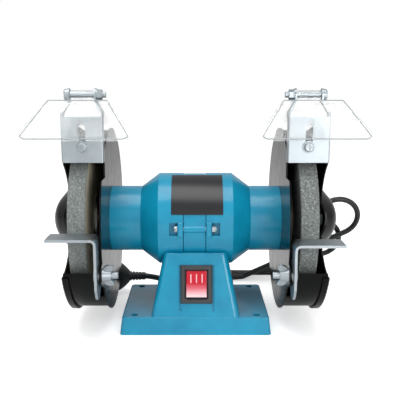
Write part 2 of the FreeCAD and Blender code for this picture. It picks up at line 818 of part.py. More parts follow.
def make_shield(side):
    (ty, tz), (ly, lz) = shield_top, shield_low
    length = math.hypot(ly - ty, lz - tz)
    down = Vector(0, ly - ty, lz - tz).multiply(1 / length)
    back = Vector(0, -down.z, down.y)
    top = Vector(shield_mid, ty, axis_z + tz)

    def on(x, s, n=0.0):
        return top + Vector(x, 0, 0) + down * s + back * n

    def panel_face():
        slope = (shield_low_half - shield_top_half) / length
        lean = math.atan(slope)
        cut = shield_corner / math.tan((math.pi / 2 - lean) / 2)
        points = [on(-shield_top_half, 0), on(shield_top_half, 0)]
        for s in (1, -1):
            a = on(s * (shield_low_half - cut * math.sin(lean)), length - cut * math.cos(lean))
            b = on(s * (shield_low_half - cut), length)
            turn = (math.pi / 2 - lean) / 2
            centre = on(s * (shield_low_half - cut), length - shield_corner)
            out = Vector(s * math.cos(turn), 0, 0) + down * math.sin(turn)
            middle = centre + out * shield_corner
            points += [a, (middle, b)] if s > 0 else [b, (middle, a)]
        return face_of(points)

    panel = panel_face().extrude(back * shield_thick)
    lip = box(shield_mid - shield_top_half, shield_mid + shield_top_half, ty, ty + shield_lip,
              axis_z + tz - shield_thick, axis_z + tz)
    shield = panel.fuse(lip)
    wing = length * 0.55
    slope = (shield_low_half - shield_top_half) / length
    for s in (-1, 1):
        root = on(s * shield_top_half, 0)
        tip = on(s * (shield_top_half + slope * wing), wing)
        corners = [root, tip, tip + back * (shield_thick + 0.8),
                   Vector(root.x, ty + shield_lip, axis_z + tz - shield_thick * 0.6),
                   Vector(root.x, ty + shield_lip, axis_z + tz)]
        flat = Part.Face(Part.makePolygon([Vector(c.x, c.y, c.z) for c in corners[:3]] + [corners[0]]))
        lower = flat.extrude(Vector(-s * 2.2, 0, 0))
        side_tri = Part.Face(Part.makePolygon([root, corners[2], corners[4], root]))
        upper = side_tri.extrude(Vector(-s * 2.2, 0, 0))
        shield = shield.fuse(lower).fuse(upper)
    half = arm_half - sheet
    z = axis_z + hinge_z
    for x0 in (bracket_mid - half + 0.3, bracket_mid + half - 0.3 - barrel_len):
        x1 = x0 + barrel_len
        web = box(x0 + 1, x1 - 1, ty + shield_lip - 2, hinge_y, z - 6.4, z - 1.2)
        shield = shield.fuse(cyl_x(x0, x1, barrel_r, hinge_y, z)).fuse(web)
    shield = shield.cut(cyl_x(bracket_mid - 20, bracket_mid + 20, hinge_r + 2 * slip, hinge_y, z))
    return handed(one(shield), side)


# ---- tool rest --------------------------------------------------------------------------
def make_rest(side):
    top, t = (right_rest_top if side > 0 else left_rest_top), rest_thick
    x0, x1 = rest_inner, rest_outer
    shelf = box(x0 + rest_bend, x1, rest_front, rest_back, axis_z + top - t, axis_z + top)
    corner = ring_of_bend(x0, top)
    leg = prism_x([(rest_front, top - rest_bend), (rest_back, top - rest_bend), (rest_back, -17),
                   (leg_back, -25), (leg_back, -37), (-82, leg_low + 3),
                   ((-90, leg_low - 1), (-98, leg_low + 4)), (rest_front, -42)], x0, x0 + t)
    rest = shelf.fuse(corner).fuse(leg)
    z = axis_z + clamp_z
    half = clamp_r + slot_play
    slot = box(x0 - 1, x0 + t + 1, clamp_y - slot_travel, clamp_y + slot_travel, z - half, z + half)
    for y in (clamp_y - slot_travel, clamp_y + slot_travel):
        slot = slot.fuse(cyl_x(x0 - 1, x0 + t + 1, half, y, z))
    return handed(one(rest.cut(slot)), side)


def ring_of_bend(x0, top):
    """Quarter bend between the leg and the shelf."""
    r, t = rest_bend, rest_thick
    z = axis_z + top - r
    quarter = cyl_y(rest_front, rest_back, r, x0 + r, z).cut(
        cyl_y(rest_front - 1, rest_back + 1, r - t, x0 + r, z))
    return quarter.common(box(x0, x0 + r, rest_front, rest_back, z, z + r))


def make_rest_bolt(side):
    """Carriage bolt: its square neck sits in the rest's slot and its end is on the motor side."""
    y, z = clamp_y, axis_z + clamp_z
    x = rest_inner + rest_thick + slip
    head = cyl_x(x, x + 2.5, 6.6, y, z)
    rim = [e for e in head.Edges if abs(e.BoundBox.XMin - x - 2.5) < 0.01 and e.BoundBox.YLength > 1]
    head = head.makeFillet(1.8, rim)
    neck = box(rest_inner + 0.1, x + 0.3, y - clamp_r, y + clamp_r, z - clamp_r, z + clamp_r)
    shank = cyl_x(neck_end - 13.5, rest_inner + 1, clamp_r, y, z)
    return handed(head.fuse(neck).fuse(shank), side)


def make_wing_nut(side):
    y, z = clamp_y, axis_z + clamp_z
    x1 = neck_end - 0.2
    hub = turned([(x1, 0), (x1, 6.0), (x1 - 7.5, 4.6), (x1 - 7.5, 0)], y, z)
    nut = hub
    for s in (-1, 1):
        wing = prism_z_wing(x1, y, z, s)
        nut = nut.fuse(wing)
    nut = nut.cut(cyl_x(x1 - 20, x1 + 1, clamp_r + slip, y, z))
    return handed(one(nut), side)


def prism_z_wing(x1, y, z, s):
    """One wing: a thin rounded blade that leans out from the hub, tilted on the bolt's axis."""
    def at(dx, dr):
        return Vector(x1 - dx, y - 1.1, z + s * dr)
    blade = face_of([at(1.0, 3.6), at(0.8, 6.4), (at(4.8, 10.6), at(9.6, 9.4)), at(9.0, 7.0),
                     at(7.0, 3.6)])
    return blade.extrude(Vector(0, 2.2, 0)).rotate(Vector(x1, y, z), Vector(1, 0, 0), 22)


# ---- switch -----------------------------------------------------------------------------
def make_switch_body():
    w, h, t = bezel_w / 2, bezel_h / 2, bezel_thick
    bezel = box(-w, w, -t, -slip, -h, h)
    outer = [e for e in bezel.Edges if abs(e.BoundBox.YMax + t) < 0.01]
    bezel = bezel.makeChamfer(0.9, outer)
    ww, wh = window_w / 2, window_h / 2
    body = box(-w + 2.2, w - 2.2, -slip - 0.5, switch_depth, -h + 2.2, h - 2.2)
    cavity = box(-ww, ww, -t - 1, 10, -wh, wh)
    mouth = frustum((ww, wh), (ww + 1.5, wh + 1.5), 0, 1.5)
    mouth.Placement = FreeCAD.Placement(Vector(0, -t + 1.3, 0), FreeCAD.Rotation(Vector(1, 0, 0), 90))
    switch = bezel.fuse(body).cut(cavity).cut(mouth)
    for x in (-6, 0, 6):
        switch = switch.fuse(box(x - 0.4, x + 0.4, switch_depth - 1, switch_depth + 7, -3, 3))
    return on_switch_face(one(switch))


def make_rocker():
    """See-saw key about an axis along X, resting with its upper half pushed in."""
    half = window_h / 2 - rocker_play
    tip = 0.3
    deep = 6.4
    pivot = rocker_pivot
    points = [Vector(0, -3.2, half), Vector(0, -1.7, 0), Vector(0, -3.2, -half),
              Vector(0, pivot + 1.0, -half + 0.6), Vector(0, deep, -5), Vector(0, deep, 5),
              Vector(0, pivot + 1.0, half - 0.6)]
    width = window_w - 2 * rocker_play
    key = face_of(points).extrude(Vector(width, 0, 0))
    key.translate(Vector(-width / 2, 0, 0))
    front = [e for e in key.Edges if e.BoundBox.YMax < -1.6 and e.BoundBox.XLength < 0.01]
    key = key.makeFillet(tip + 0.4, front)
    swing = Part.makeCylinder(half, width, Vector(-width / 2, pivot, 0), Vector(1, 0, 0))
    key = key.common(swing)
    key.rotate(Vector(0, pivot, 0), Vector(1, 0, 0), -rocker_tilt)
    return on_switch_face_of(key)


def on_switch_face_of(shape):
    """As on_switch_face, for a shape that has been turned already."""
    y = -pedestal_half(switch_z)[1]
    move = FreeCAD.Placement(Vector(switch_x, y, switch_z),
                             FreeCAD.Rotation(Vector(1, 0, 0), -face_tilt()))
    shape.Placement = move.multiply(shape.Placement)
    return shape


# ---- cord -------------------------------------------------------------------------------
def tube_along(points, r, name):
    """Straight runs joined by tangent arcs, each as large as its two runs allow."""
    pts = [Vector(*p) for p in points]
    edges = []
    start = pts[0]
    length = 0.0
    radii = []
    for a, b, c in zip(pts, pts[1:], pts[2:]):
        d0, d1 = (b - a).normalize(), (c - b).normalize()
        turn = d0.getAngle(d1)
        reach = 0.45 * min((b - a).Length, (c - b).Length)
        radius = reach / math.tan(turn / 2)
        radii.append(radius)
        p0, p1 = b - d0 * reach, b + d1 * reach
        centre_way = (d1 - d0).normalize()
        middle = b + centre_way * (radius / math.cos(turn / 2) - radius)
        edges.append(Part.makeLine(start, p0))
        edges.append(Part.Arc(p0, middle, p1).toShape())
        length += (p0 - start).Length + radius * turn
        start = p1
    edges.append(Part.makeLine(start, pts[-1]))
    length += (pts[-1] - start).Length
    way = (pts[1] - pts[0]).normalize()
    ring = Part.Wire(Part.makeCircle(r, pts[0], way))
    tube = Part.Wire(edges).makePipeShell([ring], True, True)
    share = tube.Volume / (math.pi * r * r * length)
    print(name, "radii", [round(x, 1) for x in radii], "length", round(length, 1),
          "volume share", round(share, 4))
    return tube


def coil_point(p, q, n):
    """Point of the leaning coil: p along X, q up the slope, n away from the guard."""
    a = math.radians(coil_lean)
    return Vector(p, coil_foot_y - q * math.sin(a) + n * math.cos(a),
                  q * math.cos(a) + n * math.sin(a))


def make_cord_coil():
    """Outer shape of the loose oval coil: a fan with three round corners."""
    r = coil_bend + cord_r
    centres = [coil_left, coil_low_end, coil_high_end]
    points = []
    for k in range(3):
        before, here, after = centres[k - 1], centres[k], centres[(k + 1) % 3]

        def out(a, b):
            dx, dy = b[0] - a[0], b[1] - a[1]
            n = math.hypot(dx, dy)
            return (dy / n, -dx / n)
        n0, n1 = out(before, here), out(here, after)
        m = (n0[0] + n1[0], n0[1] + n1[1])
        size = math.hypot(*m)
        spots = [(here[0] + v[0] * r, here[1] + v[1] * r)
                 for v in (n0, (m[0] / size, m[1] / size), n1)]
        spots = [coil_point(p, q, 0) for p, q in spots]
        points += [spots[0], (spots[1], spots[2])]
    back = coil_point(0, 0, coil_turns * turn_pitch) - coil_point(0, 0, 0)
    below = box(-500, 500, -500, 500, -200, 0)
    return face_of(points).extrude(back).cut(below)


def make_gland():
    y = base_half_y - skirt_draft * gland_z / flange_z
    x, z = gland_x, gland_z
    flange = cyl_y(y - 1, y + 2.2, gland_flange_r, x, z).cut(base_block(-slip, 0, flange_z))
    neck = cyl_y(y - base_wall - 1.5, y + 0.5, gland_neck_r, x, z)
    collar = cyl_y(y - base_wall - 2.4, y - base_wall, gland_neck_r + 0.4, x, z)
    collar = collar.common(base_block(base_wall + slip, 0, flange_z))
    end = gland_route[0][1]
    sleeve = Part.makeCone(cord_r + 2.2, cord_r + 0.9, end - y - 2, Vector(x, y + 2, z), Vector(0, 1, 0))
    gland = flange.fuse(neck).fuse(collar).fuse(sleeve)
    for k in range(4):
        s = y + 6 + 4.6 * k
        gland = gland.cut(cyl_y(s, s + 1.4, 20, x, z).cut(cyl_y(s - 1, s + 3, cord_r + 0.8, x, z)))
    return one(gland)


def make_plug_body():
    x0, x1, r = plug_face, plug_neck, plug_r
    profile = [(x0, 0), (x0, r - 1.2), (x0 + 1.2, r), (x0 + 12, r), (x0 + 13.5, r - 1.2),
               ((x0 + 23, r - 5.6), (x1 - 2, 8.6)), (x1, 6.6), (x1, 0)]
    return turned(profile, plug_y, plug_r)


def make_plug_pins():
    pins = []
    for s in (-1, 1):
        pin = cyl_x(plug_face - pin_len, plug_face, pin_r, plug_y + s * pin_spacing / 2, plug_r)
        tip = [e for e in pin.Edges if abs(e.BoundBox.XMax - plug_face + pin_len) < 0.01]
        pins.append(pin.makeFillet(1.4, tip))
    return group(pins)


def make_plug_sleeve():
    x0, x1 = plug_neck, sleeve_end
    sleeve = turned([(x0, 0), (x0, 5.4), (x1, 4.0), (x1, 0)], plug_y, plug_r)
    for k in range(4):
        s = x0 + 2.6 + 3.4 * k
        sleeve = sleeve.cut(ring_x(s, s + 1.3, 20, 3.9, plug_y, plug_r))
    return sleeve


# ---- every node ---------------------------------------------------------------------------
def nodes():
    made = {
        "base": make_base(),
        "bottom_plate": make_bottom_plate(),
        "bottom_plate_screws": make_bottom_screws(),
        "saddle_screws": make_saddle_screws(),
        "capacitor": make_capacitor(),
        "terminal_block": make_terminal_block(),
        "left_end_bell": make_bell(left_seam, -1),
        "right_end_bell": make_bell(right_seam, 1),
        "centre_band": make_centre_band(),
        "tie_bolts": make_tie_bolts(),
        "rating_label": make_label(),
        "stator_core": make_stator_core(),
        "stator_windings": make_windings(),
        "spindle": make_spindle(),
        "rotor_core": shifted(make_rotor_core()),
        "switch_body": make_switch_body(),
        "rocker": make_rocker(),
        "cord_gland": make_gland(),
        "cord": tube_along(gland_route, cord_r, "cord"),
        "cord_lead": tube_along(plug_route, cord_r, "cord_lead"),
        "cord_coil": make_cord_coil(),
        "plug_body": make_plug_body(),
        "plug_pins": make_plug_pins(),
        "plug_sleeve": make_plug_sleeve(),
    }
    for name, side in (("left", -1), ("right", 1)):
        made[name + "_bearing"] = make_bearing(side)
        made[name + "_wheel"] = make_wheel(side)
        made[name + "_inner_flange"] = make_inner_flange(side)
        made[name + "_outer_flange"] = make_outer_flange(side)
        made[name + "_blotters"] = make_blotters(side)
        made[name + "_spindle_nut"] = make_nut(side)
        made[name + "_guard"] = make_guard(side)
        made[name + "_guard_cover"] = make_cover(side)
        made[name + "_guard_screws"] = make_guard_screws(side)
        made[name + "_cover_screws"] = make_cover_screws(side)
        made[name + "_spark_bracket"] = make_bracket(side)
        made[name + "_slot_screw"] = make_slot_screw(side)
        made[name + "_eye_shield"] = make_shield(side)
        made[name + "_hinge_screw"] = make_hinge_screw(side)
        made[name + "_hinge_nut"] = make_hinge_nut(side)
        made[name + "_tool_rest"] = make_rest(side)
        made[name + "_rest_bolt"] = make_rest_bolt(side)
        made[name + "_wing_nut"] = make_wing_nut(side)
    return made


os.makedirs("parts", exist_ok=True)
for node, shape in nodes().items():
    shape.exportStep("parts/" + node + ".step")
    valid = shape.isValid() and all(s.isValid() for s in shape.Solids)
    print(node, "solids", len(shape.Solids), "volume", round(shape.Volume), "valid", valid)
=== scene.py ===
# %% [markdown]
# # A bench grinder
# The CAD part gives the true shape and the moving bodies. This script gives it the finishes
# that the real grinder has, adds the parts that CAD keeps plain, and sets up a small studio.
# Everything is in metres, with the grinder standing on z = 0 and its spindle along X.

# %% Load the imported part
import math

import bpy
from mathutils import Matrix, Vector


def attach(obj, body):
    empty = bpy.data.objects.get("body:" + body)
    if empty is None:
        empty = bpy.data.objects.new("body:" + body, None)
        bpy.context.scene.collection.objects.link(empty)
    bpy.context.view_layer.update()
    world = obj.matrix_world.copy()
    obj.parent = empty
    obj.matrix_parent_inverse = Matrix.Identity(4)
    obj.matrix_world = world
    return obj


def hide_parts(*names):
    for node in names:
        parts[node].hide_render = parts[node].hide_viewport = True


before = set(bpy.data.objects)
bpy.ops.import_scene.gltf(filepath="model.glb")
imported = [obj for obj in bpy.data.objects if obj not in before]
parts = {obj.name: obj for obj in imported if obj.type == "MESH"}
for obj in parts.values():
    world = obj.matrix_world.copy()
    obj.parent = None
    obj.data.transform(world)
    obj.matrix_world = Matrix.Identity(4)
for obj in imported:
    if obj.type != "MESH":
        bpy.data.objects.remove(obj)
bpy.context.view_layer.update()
scene = bpy.context.scene
scene.view_settings.view_transform = "Standard"
MM = 0.001
AXIS_Z = 100 * MM

# %% [markdown]
# ## Camera
# The grinder is seen from straight in front and a little above, from about two thirds of a
# metre. A lens of 60 mm on a 36 mm sensor gives that much perspective, and a small shift
# frames the object without tilting the camera further.

# %% Camera
LOOK_DOWN = math.radians(11.6)
DISTANCE = 0.650
camera_data = bpy.data.cameras.new("camera")
camera_data.lens = 60.0
camera_data.sensor_width = 36.0
camera_data.clip_start = 0.01
camera_data.shift_x = 0.0112
camera_data.shift_y = 0.0445
camera = bpy.data.objects.new("camera", camera_data)
scene.collection.objects.link(camera)
camera.location = (0.0, -DISTANCE * math.cos(LOOK_DOWN), AXIS_Z + DISTANCE * math.sin(LOOK_DOWN))
camera.rotation_euler = (math.radians(90) - LOOK_DOWN, 0.0, 0.0)
scene.camera = camera

# %% [markdown]
# ## Small helpers
# Colours are written as the sRGB hex values that a paint chart gives, and Blender's shaders
# want linear light, so one function turns one into the other. One more function adds a shader
# node with its settings, its values and its links, which keeps each material to a few lines.


# %% Helpers for materials
def linear(hex_colour, alpha=1.0):
    """An sRGB hex colour as linear RGBA."""
    values = []
    for i in (1, 3, 5):
        c = int(hex_colour[i:i + 2], 16) / 255
        values.append(c / 12.92 if c <= 0.04045 else ((c + 0.055) / 1.055) ** 2.4)
    return (*values, alpha)


def node(tree, kind, sockets=None, stops=None, **settings):
    """Adds a node. A socket's value is a number, a colour, or (node, output) to link it."""
    made = tree.nodes.new(kind)
    for name, value in settings.items():
        setattr(made, name, value)
    for name, value in (sockets or {}).items():
        if isinstance(value, tuple) and isinstance(value[0], bpy.types.Node):
            tree.links.new(value[0].outputs[value[1]], made.inputs[name])
        else:
            made.inputs[name].default_value = value
    if stops:
        ramp = made.color_ramp
        while len(ramp.elements) < len(stops):
            ramp.elements.new(0.5)
        for element, (place, colour) in zip(ramp.elements, stops):
            element.position = place
            element.color = linear(colour)
    return made


def new_material(name, view_colour):
    """An empty node material with its output, its surface shader and object coordinates."""
    material = bpy.data.materials.new(name)
    material.use_nodes = True
    material.diffuse_color = linear(view_colour)
    tree = material.node_tree
    tree.nodes.clear()
    output = node(tree, "ShaderNodeOutputMaterial")
    surface = node(tree, "ShaderNodeBsdfPrincipled")
    tree.links.new(surface.outputs["BSDF"], output.inputs["Surface"])
    place = node(tree, "ShaderNodeTexCoord")
    return material, tree, surface, (place, "Object")


def per_mm(size_mm):
    """Texture scale at which one repeat is about size_mm long."""
    return 1.0 / (size_mm * MM)


def put_on(material, *names):
    """Gives CAD parts a material."""
    for name in names:
        mesh = parts[name].data
        mesh.materials.clear()
        mesh.materials.append(material)


# %% [markdown]
# ## Turquoise enamel
# The motor housing and the base are castings with a thick stoved enamel. Stoved enamel flows
# before it sets, so it keeps a soft orange-peel of waves one to two millimetres wide, and it
# lies thinner on the edges. The colour stays nearly even, and the gloss breaks up over the
# waves. Noise bump at two sizes gives that, with a little colour drift.

# %% Enamel
enamel, tree, surface, spot = new_material("stoved_enamel_turquoise", "#2390b0")
drift = node(tree, "ShaderNodeTexNoise", {"Vector": spot, "Scale": per_mm(22), "Detail": 3.0})
colour = node(tree, "ShaderNodeValToRGB", {"Fac": (drift, "Fac")},
              stops=[(0.3, "#0b80a3"), (0.7, "#1190b2")])
waves = node(tree, "ShaderNodeTexNoise", {"Vector": spot, "Scale": per_mm(1.9), "Detail": 2.0})
grit = node(tree, "ShaderNodeTexNoise", {"Vector": spot, "Scale": per_mm(0.8), "Detail": 1.0})
both = node(tree, "ShaderNodeMath", {0: (waves, "Fac"), 1: (grit, "Fac")}, operation="ADD")
soft_edge = node(tree, "ShaderNodeBevel", {"Radius": 0.5 * MM}, samples=4)
peel = node(tree, "ShaderNodeBump", {"Height": (both, "Value"), "Strength": 0.22,
                                     "Distance": 0.25 * MM, "Normal": (soft_edge, "Normal")})
surface.inputs["Roughness"].default_value = 0.26
surface.inputs["Coat Weight"].default_value = 0.25
surface.inputs["IOR"].default_value = 1.42
surface.inputs["Coat Roughness"].default_value = 0.12
tree.links.new(colour.outputs["Color"], surface.inputs["Base Color"])
tree.links.new(peel.outputs["Normal"], surface.inputs["Normal"])
put_on(enamel, "base", "left_end_bell", "right_end_bell", "centre_band")

# %% [markdown]
# ## Black guard enamel
# The guards are pressed sheet steel in gloss black enamel, which is smoother than the housing's
# because the sheet under it is smooth. It mirrors the room, so it needs low roughness and only
# a very long, shallow wave.

# %% Black enamel
black_enamel, tree, surface, spot = new_material("stoved_enamel_black", "#101112")
waves = node(tree, "ShaderNodeTexNoise", {"Vector": spot, "Scale": per_mm(3.5), "Detail": 2.0})
dust = node(tree, "ShaderNodeTexNoise", {"Vector": spot, "Scale": per_mm(14), "Detail": 5.0})
gloss = node(tree, "ShaderNodeMapRange", {"Value": (dust, "Fac"), "From Min": 0.35, "From Max": 0.7,
                                          "To Min": 0.12, "To Max": 0.20})
soft_edge = node(tree, "ShaderNodeBevel", {"Radius": 0.35 * MM}, samples=4)
peel = node(tree, "ShaderNodeBump", {"Height": (waves, "Fac"), "Strength": 0.05,
                                     "Distance": 0.2 * MM, "Normal": (soft_edge, "Normal")})
surface.inputs["Base Color"].default_value = linear("#050606")
surface.inputs["IOR"].default_value = 1.45
surface.inputs["Specular IOR Level"].default_value = 0.15
tree.links.new(gloss.outputs["Result"], surface.inputs["Roughness"])
tree.links.new(peel.outputs["Normal"], surface.inputs["Normal"])
put_on(black_enamel, "left_guard", "right_guard", "left_guard_cover", "right_guard_cover")

# %% [markdown]
# ## Bright zinc plate
# Brackets, rests, screws and nuts are steel with electroplated zinc. The plating is thin and
# follows the rolled sheet, so the metal is pale and slightly blue, with faint rolling lines and
# cloudy patches where the passivation took unevenly. A metal keeps the shader's own IOR.

# %% Zinc
zinc, tree, surface, spot = new_material("bright_zinc_plated_steel", "#c3cace")
stretch = node(tree, "ShaderNodeMapping", {"Vector": spot, "Scale": (1.0, 1.0, 0.06)})
rolling = node(tree, "ShaderNodeTexNoise", {"Vector": (stretch, "Vector"), "Scale": per_mm(0.9),
                                            "Detail": 3.0})
cloud = node(tree, "ShaderNodeTexNoise", {"Vector": spot, "Scale": per_mm(9), "Detail": 4.0})
colour = node(tree, "ShaderNodeValToRGB", {"Fac": (cloud, "Fac")},
              stops=[(0.3, "#a3abb0"), (0.7, "#adb5b9")])
gloss = node(tree, "ShaderNodeMapRange", {"Value": (cloud, "Fac"), "From Min": 0.3, "From Max": 0.7,
                                          "To Min": 0.36, "To Max": 0.44})
soft_edge = node(tree, "ShaderNodeBevel", {"Radius": 0.3 * MM}, samples=4)
lines = node(tree, "ShaderNodeBump", {"Height": (rolling, "Fac"), "Strength": 0.10,
                                      "Distance": 0.05 * MM, "Normal": (soft_edge, "Normal")})
surface.inputs["Metallic"].default_value = 1.0
tree.links.new(colour.outputs["Color"], surface.inputs["Base Color"])
tree.links.new(gloss.outputs["Result"], surface.inputs["Roughness"])
tree.links.new(lines.outputs["Normal"], surface.inputs["Normal"])
ZINC_PIECES = ("spindle_nut", "guard_screws", "cover_screws", "spark_bracket", "slot_screw",
               "hinge_screw", "hinge_nut", "tool_rest", "rest_bolt", "wing_nut")
for side in ("left_", "right_"):
    put_on(zinc, *[side + n for n in ZINC_PIECES])
put_on(zinc, "bottom_plate", "bottom_plate_screws", "saddle_screws", "tie_bolts")

# %% [markdown]
# ## Turned steel
# The wheel flanges and the spindle come straight off a lathe. The tool leaves fine rings round
# the spindle's axis, which spread each highlight into a fan. A wave texture in rings about the
# axis, drawn coarser than the real feed of 0.1 mm so that it shows, bends the surface that way.

# %% Turned steel
turned_steel, tree, surface, spot = new_material("turned_steel", "#a9aaa8")
centred = node(tree, "ShaderNodeMapping", {"Vector": spot, "Location": (0.0, 0.0, -AXIS_Z)})
rings = node(tree, "ShaderNodeTexWave", {"Vector": (centred, "Vector"), "Scale": per_mm(5.0),
                                         "Distortion": 0.4, "Detail": 1.0},
             wave_type="RINGS", rings_direction="X")
tool_marks = node(tree, "ShaderNodeBump", {"Height": (rings, "Fac"), "Strength": 0.15,
                                           "Distance": 0.05 * MM})
surface.inputs["Metallic"].default_value = 1.0
surface.inputs["Base Color"].default_value = linear("#b9b9b6")
surface.inputs["Roughness"].default_value = 0.28
tree.links.new(tool_marks.outputs["Normal"], surface.inputs["Normal"])
put_on(turned_steel, "spindle", "left_inner_flange", "right_inner_flange", "left_outer_flange",
       "right_outer_flange", "left_bearing", "right_bearing")


# %% [markdown]
# ## Grinding wheels
# A wheel is abrasive grain held by a glassy bond, with pores between. A coarse wheel of about
# 36 grit has grains half a millimetre across, drawn at about a millimetre here so that they
# show. Grains are light and dark greys, the pores are painted darker as painted shade, and some
# grains glint. The fine wheel has the same make with smaller grain and a cream side, painted
# paler still as painted light for the light that falls on it.

# %% Abrasive
WHEEL_R = 75.0
# Millimetres inside the rim where the side's colour, on the fine wheel partly painted light, begins
# and where it is full.
TINT_STARTS = 0.8
TINT_FULL = 1.6


def abrasive(name, grain_mm, dark, middle, light, side_colour_and_painted_light, side_share, depth):
    """Vitrified abrasive: grains from Voronoi cells, and cloudy pores from noise."""
    material, tree, surface, spot = new_material(name, middle)
    grains = node(tree, "ShaderNodeTexVoronoi", {"Vector": spot, "Scale": per_mm(grain_mm)})
    pick = node(tree, "ShaderNodeSeparateColor", {"Color": (grains, "Color")})
    colour = node(tree, "ShaderNodeValToRGB", {"Fac": (pick, "Red")},
                  stops=[(0.0, dark), (0.35, middle), (0.75, middle), (1.0, light)])
    pores = node(tree, "ShaderNodeTexNoise", {"Vector": spot, "Scale": per_mm(grain_mm * 2.2),
                                              "Detail": 3.0})
    hollow = node(tree, "ShaderNodeMapRange", {"Value": (pores, "Fac"), "From Min": 0.30,
                                               "From Max": 0.50})
    # Painted shade: the pores take the dark grain colour, standing for the shade inside them.
    shaded = node(tree, "ShaderNodeMix", {0: (hollow, "Result"), 6: linear(dark),
                                          7: (colour, "Color")}, data_type="RGBA")
    centred = node(tree, "ShaderNodeMapping", {"Vector": spot, "Location": (0.0, 0.0, -AXIS_Z)})
    flat = node(tree, "ShaderNodeVectorMath", {0: (centred, "Vector"), 1: (0.0, 1.0, 1.0)},
                operation="MULTIPLY")
    radius = node(tree, "ShaderNodeVectorMath", {0: (flat, "Vector")}, operation="LENGTH")
    # The side colour mixed in here is, on the fine wheel, cream made paler as painted light.
    is_side = node(tree, "ShaderNodeMapRange", {"Value": (radius, "Value"),
                                                "From Min": (WHEEL_R - TINT_STARTS) * MM,
                                                "From Max": (WHEEL_R - TINT_FULL) * MM,
                                                "To Max": side_share})
    side_coloured_and_lit = node(tree, "ShaderNodeMix", {0: (is_side, "Result"), 6: (shaded, "Result"),
                                          7: linear(side_colour_and_painted_light)}, data_type="RGBA")
    relief = node(tree, "ShaderNodeMath", {0: (pick, "Green"), 1: (hollow, "Result")},
                  operation="MULTIPLY")
    rough = node(tree, "ShaderNodeBump", {"Height": (relief, "Value"), "Strength": depth,
                                          "Distance": 0.35 * MM})
    surface.inputs["Roughness"].default_value = 0.85
    surface.inputs["IOR"].default_value = 1.55
    tree.links.new(side_coloured_and_lit.outputs["Result"], surface.inputs["Base Color"])
    tree.links.new(rough.outputs["Normal"], surface.inputs["Normal"])
    return material


coarse = abrasive("vitrified_abrasive_coarse", 0.95, "#565a59", "#717775", "#9da29f", "#8e918d",
                  0.25, 0.6)
# The fine wheel's side is cream and painted paler still, as painted light standing in for the light
# on it.
fine = abrasive("vitrified_abrasive_fine", 0.75, "#5b605f", "#767c7a", "#999e9b", "#e8dec2",
                0.85, 0.4)
put_on(coarse, "right_wheel")
put_on(fine, "left_wheel")

# %% [markdown]
# ## Clear eye shields
# The shields are sheet polycarbonate, about two and a half millimetres thick. It is nearly
# colourless through its face, and its cut edges gather light and look grey. Its IOR is 1.58.
# A share of plain transparency keeps the shields' shadows as light as those of thin clear sheet.

# %% Polycarbonate
clear, tree, surface, spot = new_material("clear_polycarbonate", "#eef2f3")
haze = node(tree, "ShaderNodeTexNoise", {"Vector": spot, "Scale": per_mm(30), "Detail": 3.0})
wipe = node(tree, "ShaderNodeMapRange", {"Value": (haze, "Fac"), "To Min": 0.02, "To Max": 0.07})
surface.inputs["Base Color"].default_value = linear("#f4f7f8")
surface.inputs["IOR"].default_value = 1.58
surface.inputs["Transmission Weight"].default_value = 1.0
surface.inputs["Alpha"].default_value = 0.22
tree.links.new(wipe.outputs["Result"], surface.inputs["Roughness"])
put_on(clear, "left_eye_shield", "right_eye_shield")

# %% [markdown]
# Light that enters the sheet runs inside it and leaves by the sawn edge, which reads as a thin
# grey line all round. A fine bead along the edge of each panel stands for it.

# %% Sawn edges of the shields
# Sizes of a panel in millimetres. Its top and low edges are given as (y, z).
SHIELD_MID = 99.6
SHIELD_TOP = (-66.2, 214.6)
SHIELD_LOW = (-91.8, 184.4)
TOP_HALF = 25.0
LOW_HALF = 50.2
EDGE_CORNER = 6.0
EDGE_R = 0.55
CORNER_STEPS = 6


def shield_outline():
    """Outline of a panel as (across, down) in millimetres, with its lower corners rounded."""
    down = math.dist(SHIELD_TOP, SHIELD_LOW)
    lean = math.atan((LOW_HALF - TOP_HALF) / down)
    cut = EDGE_CORNER * math.tan((math.pi / 2 - lean) / 2 + lean)
    corner = []
    for k in range(CORNER_STEPS + 1):
        a = lean + (math.pi / 2 - lean) * k / CORNER_STEPS
        across = LOW_HALF - cut + EDGE_CORNER * math.cos(a)
        corner.append((across, down - EDGE_CORNER + EDGE_CORNER * math.sin(a)))
    right = [(TOP_HALF, 0.0)] + corner
    return right + [(-x, s) for x, s in reversed(right)], down


def shield_edge(side, body):
    outline, down = shield_outline()
    step = [(b - a) / down for a, b in zip(SHIELD_TOP, SHIELD_LOW)]
    data = bpy.data.curves.new(body + "_sawn_edge", "CURVE")
    data.dimensions = "3D"
    data.bevel_depth = EDGE_R * MM
    data.bevel_resolution = 2
    spline = data.splines.new("POLY")
    spline.points.add(len(outline) - 1)
    for point, (x, s) in zip(spline.points, outline):
        y, z = SHIELD_TOP[0] + step[0] * s, SHIELD_TOP[1] + step[1] * s
        point.co = (side * (SHIELD_MID + x) * MM, y * MM, z * MM, 1.0)
    spline.use_cyclic_u = True
    data.materials.append(sawn)
    edge = bpy.data.objects.new(body + "_sawn_edge", data)
    scene.collection.objects.link(edge)
    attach(edge, body)


sawn, tree, surface, spot = new_material("sawn_polycarbonate_edge", "#9aa2a4")
surface.inputs["Base Color"].default_value = linear("#9ba2a4")
surface.inputs["Roughness"].default_value = 0.45
shield_edge(-1, "left_eye_shield")
shield_edge(1, "right_eye_shield")


# %% [markdown]
# ## Plastics, rubber and the small parts
# The switch frame is moulded nylon with a fine spark-eroded texture, the plug and the cord
# jacket are soft PVC, and the label is a satin film. They share one recipe: a colour, a gloss
# and a moulded grain of a stated size.

